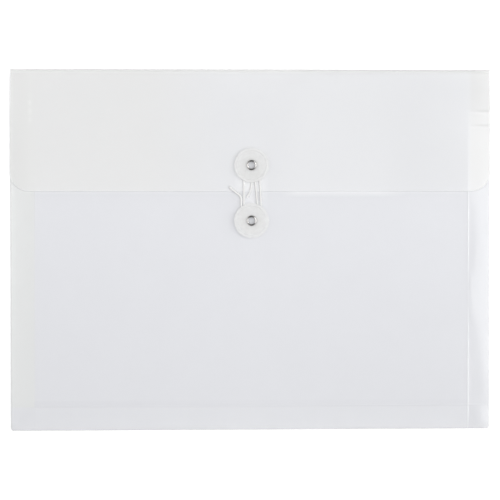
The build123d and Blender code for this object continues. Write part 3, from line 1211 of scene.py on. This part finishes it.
class ENVELOPE_OT_buttons(bpy.types.Operator):
    """Make the discs, and finish the spacers and washers under them"""

    bl_idname = "envelope.buttons"
    bl_label = "Buttons"

    def execute(self, context):
        tie = context.scene.envelope_tie
        film = context.scene.envelope_film
        washer_finish = film_material("washer_film", film.gusset_cover, film, plain_tone(film.gusset_colour))
        for name, centre in BUTTONS.items():
            low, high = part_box(f"{name}_disc")
            radius = (high.x - low.x) / 2
            top = high.z - tie.rim_height
            inner_rim = radius - tie.rim_width
            profile = [
                (tie.bore, low.z, 0.0),
                (radius, low.z, tie.rim_round),
                (radius, high.z, tie.rim_round),
                (inner_rim, high.z, tie.rim_round),
                (inner_rim - tie.rim_height, top, tie.rim_round),
                (tie.bore, top, 0.0),
            ]
            finish = disc_material(f"{name}_disc_plastic", centre, tie)
            disc = turned_ring(f"{name}_button_disc", centre, profile, tie.spin_steps, finish)
            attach(disc, f"{name}_button")
            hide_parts(f"{name}_disc")
            for node, paint in ((f"{name}_spacer", finish), (f"{name}_washer", washer_finish)):
                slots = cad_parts[node].data.materials
                slots.clear()
                slots.append(paint)
        return {"FINISHED"}


class ENVELOPE_OT_eyelets(bpy.types.Operator):
    """Make the metal eyelets that the buttons turn on"""

    bl_idname = "envelope.eyelets"
    bl_label = "Eyelets"

    def execute(self, context):
        tie = context.scene.envelope_tie
        finish = metal_material(tie)
        for name, centre in BUTTONS.items():
            low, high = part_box(f"{name}_eyelet")
            set_radius = (high.x - low.x) / 2
            bore = tie.barrel - tie.eyelet_wall
            under = high.z - tie.flange_thickness
            set_top = low.z + tie.set_thickness
            set_round = tie.set_thickness / 3
            lip = tie.flange_thickness / 4
            roll = tie.flange_round / 2
            profile = [
                (bore, low.z, set_round),
                (set_radius, low.z, set_round),
                (set_radius, set_top, tie.set_thickness / 4),
                (tie.barrel, set_top, 0.0),
                (tie.barrel, under, 0.0),
                (tie.flange_reach, under, lip / 2),
                (tie.flange_reach, under + lip, lip / 2),
                (bore + tie.flange_round, high.z, roll),
                (bore, high.z - roll, roll),
            ]
            eyelet = turned_ring(f"{name}_eyelet_ring", centre, profile, tie.spin_steps, finish)
            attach(eyelet, name)
            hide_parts(f"{name}_eyelet")
        return {"FINISHED"}


class ENVELOPE_PT_panel(bpy.types.Panel):
    """Steps that build the envelope"""

    bl_label = "String Tie Envelope"
    bl_idname = "ENVELOPE_PT_panel"
    bl_space_type = "VIEW_3D"
    bl_region_type = "UI"
    bl_category = "Envelope"

    def draw(self, context):
        for step in STEPS:
            self.layout.operator(step.bl_idname)


STEPS = (
    ENVELOPE_OT_stage,
    ENVELOPE_OT_string,
    ENVELOPE_OT_back_sheet,
    ENVELOPE_OT_gussets,
    ENVELOPE_OT_front_sheet,
    ENVELOPE_OT_flap,
    ENVELOPE_OT_buttons,
    ENVELOPE_OT_eyelets,
)
SETTINGS = {
    "envelope_film": FilmSettings,
    "envelope_tie": TieSettings,
    "envelope_stage": StageSettings,
}


def register():
    """Add the settings, the steps and the panel to Blender."""
    for name, group in SETTINGS.items():
        bpy.utils.register_class(group)
        setattr(bpy.types.Scene, name, PointerProperty(type=group))
    for step in STEPS:
        bpy.utils.register_class(step)
    bpy.utils.register_class(ENVELOPE_PT_panel)


def unregister():
    """Take them out again."""
    bpy.utils.unregister_class(ENVELOPE_PT_panel)
    for step in reversed(STEPS):
        bpy.utils.unregister_class(step)
    for name, group in reversed(SETTINGS.items()):
        delattr(bpy.types.Scene, name)
        bpy.utils.unregister_class(group)


def main():
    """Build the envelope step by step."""
    register()
    bpy.ops.envelope.stage()
    bpy.ops.envelope.string()
    bpy.ops.envelope.back_sheet()
    bpy.ops.envelope.gussets()
    bpy.ops.envelope.front_sheet()
    bpy.ops.envelope.flap()
    bpy.ops.envelope.buttons()
    bpy.ops.envelope.eyelets()


if __name__ == "__main__":
    main()
